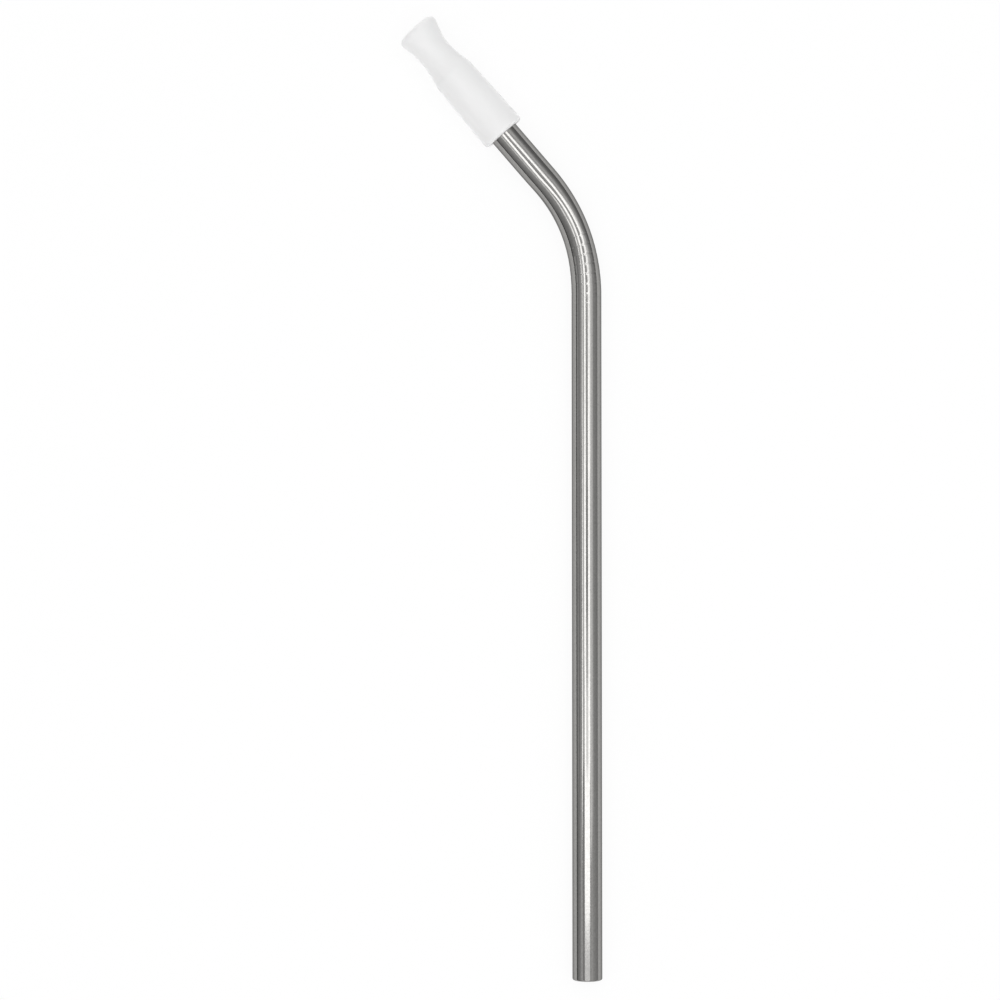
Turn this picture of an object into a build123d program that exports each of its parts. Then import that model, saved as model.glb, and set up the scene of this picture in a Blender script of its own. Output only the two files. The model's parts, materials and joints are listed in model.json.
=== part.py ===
"""Bent stainless drinking straw with a push-on silicone mouthpiece, lying as it comes to rest.

Units are millimetres, +Z is up and the floor is z = 0. The long straight leg lies along Y with its open end
towards -Y. The bend leans towards -X, rolled up a little so that the tube and the mouthpiece both touch the floor.
"""

from build123d import *

import os
from math import asin, cos, degrees, radians, sin, sqrt

# Tube
tube_od = 8.0
tube_wall = 0.5
tube_length = 254.0  # along the centre line, before bending
upper_leg = 37.0  # straight part above the bend
bend_radius = 47.5  # of the centre line
bend_angle = 41.1
lip_share = 0.8  # outer rounding of both lips, as a share of the wall
deburr_share = 0.15  # inner chamfer of both lips, likewise

# Mouthpiece: a sleeve that tapers up from its foot, a waisted neck and a flared mouth
tip_length = 36.6
grip_length = 21.2  # of tube inside the sleeve
grip_clearance = 0.02  # between the tube and the sleeve, all round
foot_wall = 2.12
foot_share = 0.38  # outer rounding of the foot, as a share of its wall
lead_in_share = 0.15  # inner chamfer of the foot, likewise
shoulder_wall = 1.6  # of the sleeve where the neck begins
neck_wall = 1.0  # at the waist
waist_share = 0.43  # waist's place along the neck
flare_wall = 2.95  # of the neck's curve where it meets the mouth, before the rim is rounded
rim_round = 1.5
mouth_chamfer = 0.4

tube_r = tube_od / 2
bore_r = tube_r - tube_wall
sleeve_r = tube_r + grip_clearance
foot_r = sleeve_r + foot_wall
foot_round = foot_share * foot_wall
bend = radians(bend_angle)
lower_leg = tube_length - upper_leg - bend_radius * bend
foot_place = upper_leg - grip_length  # up the upper leg, so that the tube's end meets the sleeve's inner step

# Centre line in the bend's own plane: the bend starts at the origin
lower_end = Vector(0, -lower_leg, 0)
upper_way = Vector(-sin(bend), cos(bend), 0)
bend_end = Vector(-bend_radius * (1 - cos(bend)), bend_radius * sin(bend), 0)
upper_end = bend_end + upper_leg * upper_way


def make_tube():
    """A ring carried along leg, bend and leg, its lips rounded outside and deburred inside."""
    leg = Line(lower_end, (0, 0, 0))
    arc = TangentArc((0, 0, 0), bend_end, tangent=(0, 1, 0))
    top = Line(bend_end, upper_end)
    ring = Plane(origin=lower_end, z_dir=(0, 1, 0)) * (Circle(tube_r) - Circle(bore_r))
    tube = sweep(ring, path=Wire([leg, arc, top]))
    for radius, ease in ((tube_r, lip_share), (bore_r, deburr_share)):
        rims = tube.edges().filter_by(GeomType.CIRCLE).filter_by(lambda e: abs(e.radius - radius) < 1e-6)
        lips = [min(rims, key=lambda e: (e.arc_center - end).length) for end in (lower_end, upper_end)]
        finish = fillet if radius == tube_r else chamfer
        tube = finish(lips, ease * tube_wall)
    return tube


def make_tip():
    """The mouthpiece turned from one profile about Y, its foot at y = 0 and its mouth at y = tip_length."""
    shoulder = (sleeve_r + shoulder_wall, grip_length)
    mouth = (bore_r + flare_wall, tip_length)
    waist = (bore_r + neck_wall, grip_length + waist_share * (tip_length - grip_length))
    neck = ThreePointArc(shoulder, waist, mouth)
    rest = Polyline(
        mouth,
        (bore_r, tip_length),
        (bore_r, grip_length),
        (sleeve_r, grip_length),
        (sleeve_r, 0),
        (foot_r, 0),
        shoulder,
    )
    profile = make_face([neck, *rest.edges()])
    for finish, corner, size in (
        (fillet, (foot_r, 0), foot_round),
        (fillet, mouth, rim_round),
        (chamfer, (sleeve_r, 0), lead_in_share * foot_wall),
        (chamfer, (bore_r, tip_length), mouth_chamfer),
    ):
        profile = finish(profile.vertices().sort_by_distance(corner)[0], size)
    return revolve(profile, Axis.Y)


def rest_roll():
    """Turn about the long leg that lets the sleeve down onto the floor, at the top of its foot's rounding."""
    widest = foot_r - (foot_wall - shoulder_wall) * foot_round / grip_length
    aside = bend_radius * (1 - cos(bend)) + (foot_place + foot_round) * sin(bend)
    a = aside**2 + (widest * sin(bend)) ** 2
    b = aside * tube_r
    return asin((sqrt(b**2 + a * (widest**2 - tube_r**2)) - b) / a)


tube = make_tube()
tip = Pos(bend_end + foot_place * upper_way) * Rot(0, 0, bend_angle) * make_tip()

laid = Pos(0, 0, tube_r) * Rot(0, degrees(rest_roll()), 0)
box = (laid * Compound([tube, tip])).bounding_box()
place = Pos(-box.center().X, -box.center().Y, 0) * laid

os.makedirs("parts", exist_ok=True)
export_step(place * tube, "parts/steel_tube.step")
export_step(place * tip, "parts/silicone_tip.step")
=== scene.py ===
import json
from math import atan, pi, radians

import bpy
import numpy as np
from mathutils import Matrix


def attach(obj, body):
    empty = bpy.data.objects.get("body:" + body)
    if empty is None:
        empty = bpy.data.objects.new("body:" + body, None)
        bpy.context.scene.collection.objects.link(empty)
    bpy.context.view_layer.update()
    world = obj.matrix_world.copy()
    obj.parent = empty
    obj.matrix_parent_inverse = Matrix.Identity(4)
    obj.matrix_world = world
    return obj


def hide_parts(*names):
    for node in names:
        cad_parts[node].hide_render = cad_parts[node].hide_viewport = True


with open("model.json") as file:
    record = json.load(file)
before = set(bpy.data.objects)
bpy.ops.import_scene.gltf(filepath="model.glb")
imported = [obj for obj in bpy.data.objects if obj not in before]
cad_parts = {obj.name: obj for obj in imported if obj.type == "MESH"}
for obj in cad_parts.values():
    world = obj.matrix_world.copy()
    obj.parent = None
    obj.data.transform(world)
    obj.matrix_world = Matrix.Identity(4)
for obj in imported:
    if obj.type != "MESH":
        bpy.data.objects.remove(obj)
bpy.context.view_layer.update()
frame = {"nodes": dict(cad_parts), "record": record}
print("frame loaded:", ", ".join(frame["nodes"]))

mm = 0.001


# Corners of a CAD node's own mesh, as one array of rows x, y, z.
def nodeCorners(name):
    corners = frame["nodes"][name].data.vertices
    flat = np.empty(3 * len(corners))
    corners.foreach_get("co", flat)
    return flat.reshape(-1, 3)


# The straw's centre line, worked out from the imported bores: leg, bend and upper leg.
bores = {mount["name"]: mount for mount in frame["record"]["mounts"]}
lowerBore = bores["lower_bore"]
mouthBore = bores["mouth_bore"]
legWay = -np.array(lowerBore["axis"])
upperWay = np.array(mouthBore["axis"])
bendStart = np.array(lowerBore["pos_m"]) + legWay * lowerBore["dims"]["length_mm"] * mm / 2
bendEnd = np.array(mouthBore["pos_m"]) - upperWay * mouthBore["dims"]["length_mm"] * mm / 2
bendTurn = np.arccos(legWay @ upperWay)
bendRadius = np.linalg.norm(bendEnd - bendStart) / (2 * np.sin(bendTurn / 2))
bendLength = bendRadius * bendTurn
upright = np.cross(legWay, upperWay) / np.sin(bendTurn)  # square to the plane of the bend
inward = np.cross(upright, legWay)  # towards the middle of the bend
tubeCorners = nodeCorners("steel_tube")
legLength = ((bendStart - tubeCorners) @ legWay).max()
upperLeg = ((tubeCorners - bendEnd) @ upperWay).max()
tubeLength = legLength + bendLength + upperLeg
tipSpan = (nodeCorners("silicone_tip") - bendEnd) @ upperWay
tipFoot = bendEnd + upperWay * tipSpan.min()
print("centre line: %.1f mm long, bend of %.1f mm radius" % (tubeLength / mm, bendRadius / mm))


# Place, direction and inward side of the centre line at each length s from the lower lip: straight up to the
# bend, then an arc whose turn is (s - leg) / radius, then straight on.
def alongStraw(s):
    turn = np.clip((s - legLength) / bendRadius, 0, bendTurn)[:, None]
    way = np.cos(turn) * legWay + np.sin(turn) * inward
    side = np.cos(turn) * inward - np.sin(turn) * legWay
    place = bendStart + np.minimum(s - legLength, 0)[:, None] * legWay
    place = place + bendRadius * (np.sin(turn) * legWay + (1 - np.cos(turn)) * inward)
    place = place + np.maximum(s - legLength - bendLength, 0)[:, None] * way
    return place, way, side


# A closed skin: ring k joins ring k + 1 and the last joins the first, and each ring closes on itself. The
# signed volume, a sixth of the sum of the corner products, says which way round the faces go. The attribute
# unbent keeps each corner's place across, up and along, as if the straw were straight.
def closedSkin(name, rings, straight, material):
    rows, cols = rings.shape[:2]
    index = np.arange(rows * cols).reshape(rows, cols)
    ahead = np.roll(index, -1, axis=0)
    quads = np.stack([index, np.roll(index, -1, 1), np.roll(ahead, -1, 1), ahead], axis=-1).reshape(-1, 4)
    points = rings.reshape(-1, 3)
    a, b, c, d = (points[quads[:, i]] for i in range(4))
    volume = (np.einsum("ij,ij->", np.cross(a, b), c) + np.einsum("ij,ij->", np.cross(a, c), d)) / 6
    if volume < 0:
        quads = quads[:, ::-1]
    mesh = bpy.data.meshes.new(name)
    mesh.from_pydata(points, [], quads)
    mesh.shade_smooth()
    unbent = mesh.attributes.new("unbent", "FLOAT_VECTOR", "POINT")
    unbent.data.foreach_set("vector", straight.reshape(-1, 3).astype(np.float32).ravel())
    mesh.materials.append(material)
    piece = bpy.data.objects.new(name, mesh)
    bpy.context.scene.collection.objects.link(piece)
    print("%s: %d faces, %.1f mm3" % (name, len(quads), abs(volume) / mm**3))
    return piece


# Fills a node's inputs: another node's output is linked in, and any other value is set.
def setInputs(tree, node, inputs):
    for key, value in inputs.items():
        if isinstance(value, bpy.types.NodeSocket):
            tree.links.new(value, node.inputs[key])
        else:
            node.inputs[key].default_value = value


def addNode(tree, kind, inputs, **settings):
    node = tree.nodes.new(kind)
    for name, value in settings.items():
        setattr(node, name, value)
    setInputs(tree, node, inputs)
    return node


def newMaterial(name):
    material = bpy.data.materials.new(name)
    material.use_nodes = True
    return material, material.node_tree, material.node_tree.nodes["Principled BSDF"]


# One step of arithmetic on one or two values.
def mathStep(tree, operation, *values, clamp=False):
    step = addNode(tree, "ShaderNodeMath", dict(enumerate(values)), operation=operation, use_clamp=clamp)
    return step.outputs[0]


# A value that runs from low to high while another runs from start to end, evenly or by a smooth step.
def mapRange(tree, value, start, end, low, high, kind="LINEAR"):
    span = {"Value": value, "From Min": start, "From Max": end, "To Min": low, "To Max": high}
    return addNode(tree, "ShaderNodeMapRange", span, interpolation_type=kind).outputs["Result"]


# Noise over the unbent place, scaled in each direction, so that a pattern runs along the straw and round it.
def unbentNoise(tree, scale, detail, harshness):
    place = addNode(tree, "ShaderNodeAttribute", {}, attribute_name="unbent")
    scaled = addNode(tree, "ShaderNodeMapping", {"Vector": place.outputs["Vector"], "Scale": scale})
    pattern = {"Vector": scaled.outputs["Vector"], "Scale": 1, "Detail": detail, "Roughness": harshness}
    return addNode(tree, "ShaderNodeTexNoise", pattern).outputs["Fac"]


# A noise's usual range of values drawn out over the range from low to high.
def noiseSpread(tree, noise, low, high):
    usual = (0.3, 0.7)
    return mapRange(tree, noise, *usual, low, high)


# A colour between two tones, by a share from 0 to 1. The numbers are the mix node's sockets for colours.
def toneMix(tree, share, first, second):
    return addNode(tree, "ShaderNodeMix", {0: share, 6: first, 7: second}, data_type="RGBA").outputs[2]


# A fine relief of the given depth, on top of another one where that is given.
def relief(tree, height, depth, under=None):
    inputs = {"Height": height, "Strength": 1, "Distance": depth}
    if under is not None:
        inputs["Normal"] = under
    return addNode(tree, "ShaderNodeBump", inputs).outputs["Normal"]


# Steel: drawn and polished, with long faint draw lines, a fine grain and a few duller patches
steelFinish = {
    "tone": (0.357, 0.352, 0.342, 1),
    "duskTone": (0.298, 0.294, 0.286, 1),
    "edgeTint": (0.34, 0.34, 0.34, 1),
    "roughness": (0.05, 0.09),
    "drawLines": {"scale": (2100, 2100, 9), "detail": 3, "harshness": 0.6},
    "drawDepth": 2.2e-6,
    "grain": {"scale": (2600, 2600, 1800), "detail": 2, "harshness": 0.5},
    "grainDepth": 1.4e-6,
    "patches": {"scale": (260, 260, 40), "detail": 2, "harshness": 0.5},
}


def steelMaterial(finish):
    material, tree, shader = newMaterial("drawn_steel")
    lines = unbentNoise(tree, **finish["drawLines"])
    grain = unbentNoise(tree, **finish["grain"])
    patches = unbentNoise(tree, **finish["patches"])
    setInputs(tree, shader, {
        "Base Color": toneMix(tree, noiseSpread(tree, grain, 0, 1), finish["tone"], finish["duskTone"]),
        "Metallic": 1,
        "Roughness": noiseSpread(tree, patches, *finish["roughness"]),
        "Specular Tint": finish["edgeTint"],
        "Normal": relief(tree, grain, finish["grainDepth"], relief(tree, lines, finish["drawDepth"])),
    })
    return material


# Steel tube
tubeShape = {
    "outer": 4.0 * mm,
    "inner": 3.5 * mm,
    "outerLip": 0.4 * mm,
    "innerLip": 0.075 * mm,
    "bendEgg": (-0.084, -0.045, 0.039),  # how the bend leaves the round: waves once, twice and thrice round
    "eggPast": 1.5 * mm,  # how far past the bend it fades out
    "flatDepth": 0.24 * mm,  # of a flat on the inside near the upper end of the bend
    "flatPlace": -7.0 * mm,  # from the end of the bend
    "flatReach": 6.5 * mm,
    "flatSharp": 16,  # the higher, the narrower round the tube
    "markCount": 9,
    "firstMark": -2.1 * mm,  # from the start of the bend
    "lastMark": 18.46 * mm,
    "markDepth": 0.035 * mm,
    "markFade": 0.9,  # how much shallower the first and last marks are
    "markWidth": (0.26 * mm, 0.15 * mm),  # below and above its deepest line
    "markSpan": (-0.9 * mm, 0.55 * mm),  # stretch of close rings about each mark
    "bendPast": 8 * mm,  # how far past the bend its close rings go on
    "lipHold": 0.03 * mm,  # from each lip to a ring that keeps the wall flat beside it
    "rings": {"wall": 120, "bend": 86, "mark": 33, "bore": 110, "lip": 8},
    "around": 112,
}


# The tube's closed profile as lengths s along the straw and radii r: up the outside, over the upper lip, down
# the inside and back round the lower lip. Each lip is a quarter circle outside and a smaller one inside.
def tubeProfile(shape, marks):
    outer, inner, lip, ease = (shape[key] for key in ("outer", "inner", "outerLip", "innerLip"))
    hold, count = shape["lipHold"], shape["rings"]
    up = np.unique(np.concatenate([
        np.linspace(lip, tubeLength - lip, count["wall"])[1:-1],
        [lip + hold, tubeLength - lip - hold],
        legLength + np.linspace(0, bendLength + shape["bendPast"], count["bend"]),
        (marks[:, None] + np.linspace(*shape["markSpan"], count["mark"])).ravel(),
    ]))
    down = np.linspace(tubeLength - ease, ease, count["bore"])[1:-1]
    q = np.linspace(0, pi / 2, count["lip"])
    s = np.concatenate([
        up,
        tubeLength - lip + lip * np.sin(q),
        tubeLength - ease + ease * np.cos(q),
        down,
        ease - ease * np.sin(q),
        lip - lip * np.cos(q),
    ])
    r = np.concatenate([
        np.full(len(up), outer),
        outer - lip + lip * np.cos(q),
        inner + ease - ease * np.sin(q),
        np.full(len(down), inner),
        inner + ease - ease * np.cos(q),
        outer - lip + lip * np.sin(q),
    ])
    return s, r


# Rings about the centre line, of radius (profile radius - marks) x (1 + egg waves) - flat. Each mark is a
# narrow bell-shaped dip, steeper on its upper side, and the first and last are shallower by a square law. The
# egg waves grow as sin squared over the bend, pull in the wall on its inside and fade out by a smooth step on
# the underside. The flat is a bell along the straw times a power of the angle's cosine, on the inside alone.
def tubeRings(shape):
    marks = legLength + np.linspace(shape["firstMark"], shape["lastMark"], shape["markCount"])
    s, r = tubeProfile(shape, marks)
    angle = np.linspace(0, 2 * pi, shape["around"], endpoint=False)  # 0 points to the inside of the bend
    off = s[:, None] - marks
    depth = shape["markDepth"] * (1 - shape["markFade"] * np.linspace(-1, 1, shape["markCount"]) ** 2)
    dips = np.exp(-((off / np.where(off < 0, *shape["markWidth"])) ** 2)) @ depth
    waves = sum(size * np.cos((k + 1) * angle) for k, size in enumerate(shape["bendEgg"]))
    under = np.clip(-np.sin(angle), 0, 1)
    waves = waves * (1 - under**2 * (3 - 2 * under))
    share = np.clip((s - legLength) / (bendLength + shape["eggPast"]), 0, 1)
    apart = (s - legLength - bendLength - shape["flatPlace"]) / shape["flatReach"]
    facing = np.clip(np.cos(angle), 0, 1) ** shape["flatSharp"]
    flat = shape["flatDepth"] * np.exp(-(apart**2))[:, None] * facing
    radius = (r - dips)[:, None] * (1 + np.sin(pi * share)[:, None] ** 2 * waves) - flat
    across = radius * np.cos(angle)
    high = radius * np.sin(angle)
    place, way, side = alongStraw(s)
    rings = place[:, None] + across[:, :, None] * side[:, None] + high[:, :, None] * upright
    straight = np.stack([across, high, np.broadcast_to(s[:, None], across.shape)], axis=-1)
    return rings, straight


tube = closedSkin("straw_tube", *tubeRings(tubeShape), steelMaterial(steelFinish))
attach(tube, "tube")
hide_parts("steel_tube")


# Silicone: soft, matt and a little see-through at the thin edges, with a fine moulded skin
siliconeFinish = {
    "tone": (0.833, 0.833, 0.833, 1),
    "cloudTone": (0.818, 0.818, 0.818, 1),
    "clouds": {"scale": (180, 180, 90), "detail": 3, "harshness": 0.5},
    "roughness": (0.42, 0.52),
    "refraction": 1.41,
    "softness": 1.0,
    "reach": 0.7 * mm,  # how far light spreads under the skin
    "sheen": 0.8,
    "skin": {"scale": (5200, 5200, 5200), "detail": 2, "harshness": 0.6},
    "skinDepth": 1.5e-6,
}


def siliconeMaterial(finish):
    material, tree, shader = newMaterial("moulded_silicone")
    clouds = unbentNoise(tree, **finish["clouds"])
    skin = unbentNoise(tree, **finish["skin"])
    setInputs(tree, shader, {
        "Base Color": toneMix(tree, clouds, finish["tone"], finish["cloudTone"]),
        "Roughness": noiseSpread(tree, clouds, *finish["roughness"]),
        "IOR": finish["refraction"],
        "Subsurface Weight": finish["softness"],
        "Subsurface Radius": (1, 1, 1),
        "Subsurface Scale": finish["reach"],
        "Sheen Weight": finish["sheen"],
        "Normal": relief(tree, skin, finish["skinDepth"]),
    })
    return material


# Silicone mouthpiece, radii and heights in millimetres with its foot at height 0
tipShape = {
    "length": tipSpan.max() / mm - tipSpan.min() / mm,
    "grip": 21.2,  # tube inside the sleeve
    "sleeve": 4.02,
    "passage": 3.5,
    "foot": 6.14,
    "footRound": 0.806,
    "leadIn": 0.318,
    "shoulder": 5.62,
    "shoulderEase": 0.22,
    "waist": 4.5,
    "waistShare": 0.43,  # place of the waist along the neck
    "flare": 6.45,
    "rimRound": 1.5,
    "mouthRound": 0.4,
    "lean": 0.3,  # of the soft mouth, away from the middle of the bend
    "sharpFrom": 40,  # degrees between faces from which their edge stays sharp
    "rings": {
        "foot": 14, "taper": 30, "neck": 48, "rim": 24, "mouth": 10, "passage": 20, "grip": 24, "base": 3,
    },
    "around": 128,
}


# Middle and radius of the circle through three points: solve 2 (p - p0) . c = |p|^2 - |p0|^2 for c.
def circleThrough(p0, p1, p2):
    rows = 2 * np.array([np.subtract(p1, p0), np.subtract(p2, p0)])
    squares = np.array([np.dot(p, p) for p in (p0, p1, p2)])
    middle = np.linalg.solve(rows, squares[1:] - squares[0])
    return middle, np.linalg.norm(np.subtract(p0, middle))


# Points on a circle about a middle, from one angle to another, angle 0 pointing away from the straw's axis.
def arcPoints(middle, radius, start, end, count):
    turn = np.linspace(start, end, count)
    return np.stack([middle[0] + radius * np.cos(turn), middle[1] + radius * np.sin(turn)], axis=1)


# The mouthpiece's closed profile of radius and height, turned about the straw's axis: foot rounding, tapering
# sleeve, neck as one arc through shoulder, waist and mouth, rim rounding tangent to that arc and to the plane
# of the mouth, then back down the inside. The mouth leans aside by lean x eased height above the waist.
def tipRings(shape):
    length, grip, sleeve, passage = (shape[key] for key in ("length", "grip", "sleeve", "passage"))
    foot, shoulder, leadIn, count = (shape[key] for key in ("foot", "shoulder", "leadIn", "rings"))
    waistHeight = grip + shape["waistShare"] * (length - grip)
    middle, bow = circleThrough((shoulder, grip), (shape["waist"], waistHeight), (shape["flare"], length))
    rim = shape["rimRound"]
    rimHeight = length - rim
    rimMiddle = (middle[0] - np.sqrt((bow + rim) ** 2 - (rimHeight - middle[1]) ** 2), rimHeight)
    meet = np.arctan2(rimHeight - middle[1], rimMiddle[0] - middle[0]) % (2 * pi)  # neck meets the rim here
    start = np.arctan2(grip - middle[1], shoulder - middle[0]) % (2 * pi)
    taper = np.arctan2(foot - shoulder, grip)
    ball = shape["footRound"]
    footMiddle = (foot - ball * (np.cos(taper) + np.tan(taper) * (1 + np.sin(taper))), ball)
    footTop = np.array(footMiddle) + ball * np.array([np.cos(taper), np.sin(taper)])
    ease = shape["shoulderEase"]
    mouth = shape["mouthRound"]
    profile = np.concatenate([
        arcPoints(footMiddle, ball, -pi / 2, taper, count["foot"])[:-1],
        np.linspace(footTop, (shoulder + ease * np.tan(taper), grip - ease), count["taper"]),
        arcPoints(middle, bow, start - ease / bow, meet, count["neck"])[:-1],
        arcPoints(rimMiddle, rim, meet - pi, pi / 2, count["rim"]),
        arcPoints((passage + mouth, length - mouth), mouth, pi / 2, pi, count["mouth"]),
        np.linspace((passage, length - mouth), (passage, grip), count["passage"])[1:],
        np.linspace((sleeve, grip), (sleeve, leadIn), count["grip"]),
        np.linspace((sleeve + leadIn, 0), (footMiddle[0], 0), count["base"])[:-1],
    ])
    radius, height = profile[:, :1], profile[:, 1:]
    angle = np.linspace(0, 2 * pi, shape["around"], endpoint=False)
    lift = np.clip((height - waistHeight) / (length - waistHeight), 0, 1)
    lean = shape["lean"] * lift**2 * (3 - 2 * lift)
    across = radius * np.cos(angle) - lean
    high = radius * np.sin(angle)
    side = np.cross(upright, upperWay)
    rings = mm * (across[:, :, None] * side + high[:, :, None] * upright + height[:, :, None] * upperWay)
    straight = mm * np.stack([across, high, np.broadcast_to(height, across.shape)], axis=-1)
    return tipFoot + rings, straight


tip = closedSkin("straw_mouthpiece", *tipRings(tipShape), siliconeMaterial(siliconeFinish))
tip.data.set_sharp_from_angle(angle=radians(tipShape["sharpFrom"]))
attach(tip, "tip")
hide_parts("silicone_tip")


# Floor: a flat white sheet, seen at full white apart from a lightened contact shadow
floorSheet = {
    "half": 2.0,
    "lines": 3,  # of the sheet's grid, each way
    "tone": (0.95, 0.95, 0.95, 1),
    "lighten": 0.9,
}


# The sheet's own white, shown by a plain glow where a camera, glossy or transmission ray meets it.
def floorMaterial(sheet):
    material, tree, shader = newMaterial("white_sheet")
    setInputs(tree, shader, {"Base Color": sheet["tone"], "Roughness": 1, "Specular IOR Level": 0})
    path = tree.nodes.new("ShaderNodeLightPath").outputs
    seen = mathStep(tree, "ADD", path["Is Camera Ray"], path["Is Glossy Ray"])
    seen = mathStep(tree, "ADD", seen, path["Is Transmission Ray"], clamp=True)
    white = addNode(tree, "ShaderNodeEmission", {"Strength": 1})
    share = mathStep(tree, "MULTIPLY", seen, sheet["lighten"])
    mix = addNode(tree, "ShaderNodeMixShader", {0: share, 1: shader.outputs[0], 2: white.outputs[0]})
    setInputs(tree, tree.nodes["Material Output"], {"Surface": mix.outputs[0]})
    return material


# A flat grid at height 0, x and y each running from -half to half.
def makeFloor(sheet):
    lines = sheet["lines"]
    side = np.linspace(-1, 1, lines) * sheet["half"]
    x, y = np.meshgrid(side, side)
    points = np.stack([x, y, np.zeros_like(x)], axis=-1).reshape(-1, 3)
    index = np.arange(lines**2).reshape(lines, lines)
    quads = np.stack([index[:-1, :-1], index[:-1, 1:], index[1:, 1:], index[1:, :-1]], axis=-1).reshape(-1, 4)
    mesh = bpy.data.meshes.new("floor_sheet")
    mesh.from_pydata(points, [], quads)
    mesh.materials.append(floorMaterial(sheet))
    floor = bpy.data.objects.new("floor_sheet", mesh)
    bpy.context.scene.collection.objects.link(floor)


makeFloor(floorSheet)
print("floor laid")


# Studio: softboxes above the straw, x and y in metres, glow as brightness. The room's brightness is given as
# pairs of height, from 0 at the horizon to 1 overhead, and brightness.
studioLights = {
    "level": 0.95,  # of all the light
    "height": 0.9,
    "boxes": {
        "left_strip": {"x": (-0.31, -0.12), "y": (-0.25, 0.46), "glow": 2.65},
        "left_widening": {"x": (-0.36, -0.31), "y": (-0.09, 0.05), "glow": 1.7},
        "right_strip": {"x": (0.15, 0.34), "y": (-0.25, 0.09), "glow": 2.65},
        "right_soft": {"x": (0.15, 0.34), "y": (0.09, 0.155), "glow": 2.2},
        "right_widening": {"x": (0.34, 0.39), "y": (-0.16, 0.155), "glow": 2.4},
        "right_corner": {"x": (0.40, 0.455), "y": (0.03, 0.32), "glow": 1.8},
        "right_point": {"x": (0.0, 0.07), "y": (0.14, 0.24), "glow": 2.65},
        "right_top": {"x": (0.07, 0.40), "y": (0.155, 0.24), "glow": 2.65},
        "right_wing": {"x": (0.29, 0.40), "y": (0.24, 0.35), "glow": 1.9},
        "right_end": {"x": (0.0, 0.28), "y": (0.24, 0.305), "glow": 2.65},
        "middle_strip": {"x": (-0.12, 0.15), "y": (-0.25, -0.155), "glow": 2.6},
        "middle_fade": {"x": (-0.12, 0.15), "y": (-0.155, -0.10), "glow": 1.4},
        "middle_end": {"x": (-0.12, 0.15), "y": (-0.10, -0.06), "glow": 0.5},
        "middle_top": {"x": (-0.12, 0.15), "y": (0.02, 0.14), "glow": 0.25},
        "front_box": {"x": (-0.32, 0.31), "y": (-0.36, -0.25), "glow": 1.0},
        "front_far": {"x": (-0.22, 0.24), "y": (-1.00, -0.36), "glow": 1.1},
        "right_box": {"x": (0.39, 0.66), "y": (-0.22, 0.40), "glow": 0.9},
        "right_edge": {"x": (0.66, 0.98), "y": (-0.22, 0.40), "glow": 0.55},
        "right_low": {"x": (0.34, 0.90), "y": (-0.36, -0.22), "glow": 0.2},
        "right_far": {"x": (0.28, 0.76), "y": (0.42, 0.82), "glow": 0.38},
        "left_box": {"x": (-0.60, -0.36), "y": (-0.16, 0.25), "glow": 0.7},
        "left_slit": {"x": (-0.66, -0.52), "y": (-0.22, 0.34), "glow": 2.3, "turn": -22},
        "left_top": {"x": (-0.85, -0.52), "y": (0.06, 0.28), "glow": 0.4},
        "left_low": {"x": (-0.95, -0.72), "y": (-0.36, -0.18), "glow": 0.35},
        "bend_left": {"x": (-4.28, -2.88), "y": (-2.23, -1.46), "glow": 1.4, "height": 5.0},
        "upper_left": {"x": (-3.64, -2.09), "y": (-2.54, -1.74), "glow": 0.75, "turn": 38, "height": 5.0},
    },
    "leftRoom": (
        (0.0, 0.02), (0.08, 0.11), (0.14, 0.36), (0.2, 0.62), (0.3, 0.70), (0.386, 0.52), (0.471, 0.36),
        (0.55, 0.59), (0.62, 0.69), (0.7, 0.65), (1.0, 0.6),
    ),
    "frontRoom": (  # left and in front
        (0.0, 0.0), (0.06, 0.02), (0.13, 0.32), (0.25, 0.37), (0.32, 0.42), (0.41, 0.46), (0.49, 0.55),
        (0.57, 0.6), (0.64, 0.68), (0.76, 0.66), (1.0, 0.6),
    ),
    "rightRoom": (
        (0.0, 0.45), (0.2, 0.49), (0.36, 0.52), (0.53, 0.6), (0.62, 0.65), (0.7, 0.63), (1.0, 0.6),
    ),
    "frontToLeft": (-0.115, -0.075),  # y of a ray's way, where one curve gives way to the other
    "leftToRight": (-0.4, 0.4),  # x of a ray's way, likewise
    "ends": {"span": (0.72, 0.95), "lift": 0.8},  # brighter low down in front of the straw and behind it
    "corners": {  # darker corners: the way they lie, where they start and are full, and how much darker
        "far": {"way": (0.76, 0.65, 0.0), "span": (0.76, 0.93), "dim": 0.22},
        "low": {"way": (-0.523, -0.131, 0.841), "span": (0.985, 0.998), "dim": 0.12},
    },
}


# Brightness by height, running evenly between the pairs.
def glowCurve(tree, height, pairs):
    ramp = addNode(tree, "ShaderNodeValToRGB", {0: height})
    stops = ramp.color_ramp.elements
    while len(stops) < len(pairs):
        stops.new(0.5)
    for stop, (place, glow) in zip(stops, pairs):
        stop.position = place
        stop.color = (glow, glow, glow, 1)
    return ramp.outputs["Color"]


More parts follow.
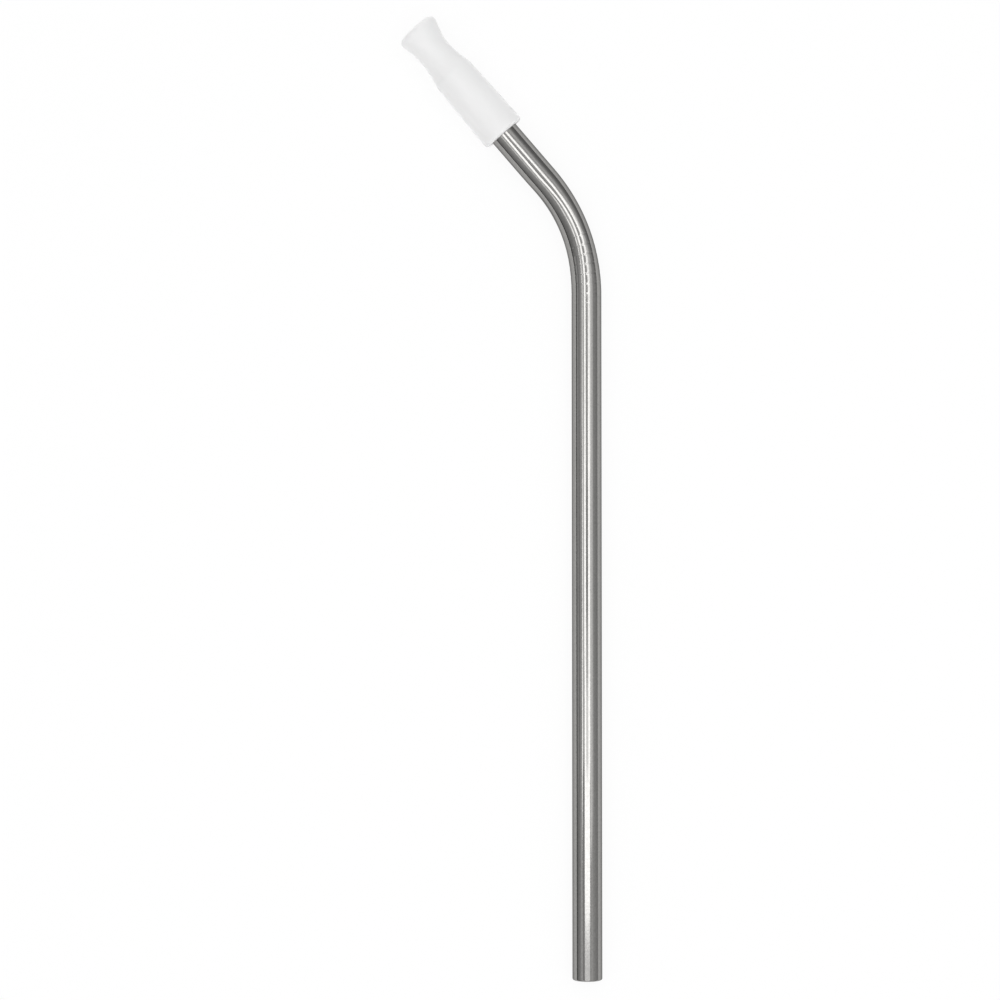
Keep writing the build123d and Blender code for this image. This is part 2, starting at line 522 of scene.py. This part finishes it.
# Room brightness from the way a ray points: the front and the left curve of height, blended by a smooth step
# from front to back, and then with the right curve from left to right, less a smooth step towards each dark
# corner, plus one towards both ends.
def makeRoom(studio):
    world = bpy.data.worlds.new("studio_room")
    bpy.context.scene.world = world
    world.use_nodes = True
    tree = world.node_tree
    way = tree.nodes.new("ShaderNodeTexCoord").outputs["Generated"]
    parts = addNode(tree, "ShaderNodeSeparateXYZ", {0: way}).outputs
    front, left, right = (
        glowCurve(tree, parts["Z"], studio[key]) for key in ("frontRoom", "leftRoom", "rightRoom")
    )
    left = mapRange(tree, parts["Y"], *studio["frontToLeft"], front, left, "SMOOTHSTEP")
    glow = mapRange(tree, parts["X"], *studio["leftToRight"], left, right, "SMOOTHSTEP")
    for corner in studio["corners"].values():
        near = addNode(tree, "ShaderNodeVectorMath", {0: way, 1: corner["way"]}, operation="DOT_PRODUCT")
        dim = mapRange(tree, near.outputs["Value"], *corner["span"], 0, corner["dim"], "SMOOTHSTEP")
        glow = mathStep(tree, "SUBTRACT", glow, dim)
    ends = studio["ends"]
    along = mathStep(tree, "ABSOLUTE", parts["Y"])
    glow = mathStep(tree, "ADD", glow, mapRange(tree, along, *ends["span"], 0, ends["lift"], "SMOOTHSTEP"))
    level = studio["level"]
    setInputs(tree, tree.nodes["Background"], {"Color": (level, level, level, 1), "Strength": glow})


# Softboxes as lamps that face down, each of energy level x glow x pi x its area.
def makeLights(studio):
    for name, box in studio["boxes"].items():
        (x0, x1), (y0, y1) = box["x"], box["y"]
        lamp = bpy.data.lights.new(name, "AREA")
        lamp.shape = "RECTANGLE"
        lamp.size = x1 - x0
        lamp.size_y = y1 - y0
        lamp.energy = studio["level"] * box["glow"] * pi * (x1 - x0) * (y1 - y0)
        light = bpy.data.objects.new(name, lamp)
        light.location = ((x0 + x1) / 2, (y0 + y1) / 2, box.get("height", studio["height"]))
        light.rotation_euler.z = radians(box.get("turn", 0))
        bpy.context.scene.collection.objects.link(light)


makeRoom(studioLights)
makeLights(studioLights)
print("studio lit")


# Camera almost straight above the straw, angles in degrees
cameraView = {
    "middle": (-0.00039, -0.000286, 0.004),
    "distance": 0.7,
    "frameWidth": 0.2677,
    "tilt": 0.756,
    "roll": -0.055,
    "nearest": 0.01,  # what is closer isn't shown
}


def makeCamera(view):
    lens = bpy.data.cameras.new("photo_camera")
    lens.angle = 2 * atan(view["frameWidth"] / 2 / view["distance"])
    lens.clip_start = view["nearest"]
    camera = bpy.data.objects.new("photo_camera", lens)
    tilt = radians(view["tilt"])
    back = np.array([0, -np.sin(tilt), np.cos(tilt)])
    camera.location = np.array(view["middle"]) + view["distance"] * back
    camera.rotation_mode = "ZXY"
    camera.rotation_euler = (tilt, 0, radians(view["roll"]))
    bpy.context.scene.collection.objects.link(camera)
    bpy.context.scene.camera = camera


makeCamera(cameraView)
bpy.context.scene.view_settings.view_transform = "Standard"
print("camera set")
